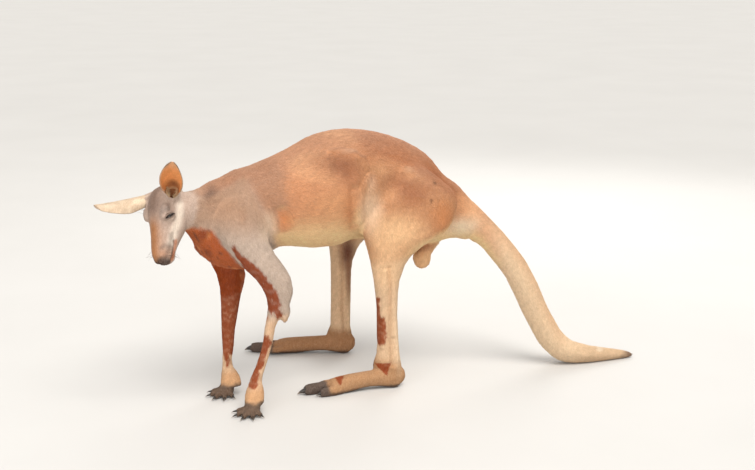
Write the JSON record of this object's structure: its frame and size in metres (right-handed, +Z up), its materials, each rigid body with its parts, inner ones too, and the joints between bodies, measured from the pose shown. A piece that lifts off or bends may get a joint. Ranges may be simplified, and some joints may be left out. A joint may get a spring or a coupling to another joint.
{
  "type": "red kangaroo",
  "caption": "Life-size red kangaroo, a still figure resting on its hind feet, both hands and the end of the tail, head hanging and turned to its left.",
  "frame": {"origin": "on the floor, under the middle of the whole animal's bounding box", "axes": "+X towards the tail, +Y towards the animal's right side, +Z up; the animal faces -X"},
  "size_m": [1.8492, 0.7972, 0.8768],
  "materials": {
    "body_fur": "short pinkish-tan fur",
    "claw_horn": "dark horn with worn pale tips, satin",
    "ear_fur": "thin pale fur outside, warm bare skin inside",
    "eye_wet": "dark brown wet eye, glossy",
    "foot_fur": "short cream fur",
    "forearm_fur": "short fur licked wet, dark red-brown",
    "hand_skin": "dark bare skin with thin fur, matt",
    "head_fur": "short pale grey fur",
    "neck_fur": "short pale grey fur",
    "scrotum_fur": "thin short fur",
    "shank_fur": "short cream fur",
    "tail_fur": "short cream-tan fur",
    "tail_tip_fur": "short tan fur, dark at the tip",
    "thigh_fur": "short orange-tan fur",
    "toe_skin": "dark bare toe skin with thin hair, matt",
    "upper_arm_fur": "short pale grey fur"
  },
  "bodies": {
    "root": {"belly": "body_fur", "chest": "body_fur", "claw_big_left": "claw_horn", "claw_big_right": "claw_horn", "claw_finger_1_left": "claw_horn", "claw_finger_1_right": "claw_horn", "claw_finger_2_left": "claw_horn", "claw_finger_2_right": "claw_horn", "claw_finger_3_left": "claw_horn", "claw_finger_3_right": "claw_horn", "claw_finger_4_left": "claw_horn", "claw_finger_4_right": "claw_horn", "claw_finger_5_left": "claw_horn", "claw_finger_5_right": "claw_horn", "claw_inner_1_left": "claw_horn", "claw_inner_1_right": "claw_horn", "claw_inner_2_left": "claw_horn", "claw_inner_2_right": "claw_horn", "claw_outer_left": "claw_horn", "claw_outer_right": "claw_horn", "ear_left": "ear_fur", "ear_right": "ear_fur", "eye_left": "eye_wet", "eye_right": "eye_wet", "foot_left": "foot_fur", "foot_right": "foot_fur", "forearm_left": "forearm_fur", "forearm_right": "forearm_fur", "hand_left": "hand_skin", "hand_right": "hand_skin", "head": "head_fur", "neck": "neck_fur", "pelvis": "body_fur", "scrotum": "scrotum_fur", "shank_left": "shank_fur", "shank_right": "shank_fur", "tail_1": "tail_fur", "tail_2": "tail_fur", "tail_3": "tail_fur", "tail_4": "tail_tip_fur", "thigh_left": "thigh_fur", "thigh_right": "thigh_fur", "toe_big_left": "toe_skin", "toe_big_right": "toe_skin", "toe_inner_left": "toe_skin", "toe_inner_right": "toe_skin", "toe_outer_left": "toe_skin", "toe_outer_right": "toe_skin", "upper_arm_left": "upper_arm_fur", "upper_arm_right": "upper_arm_fur"}
  },
  "joints": []
}
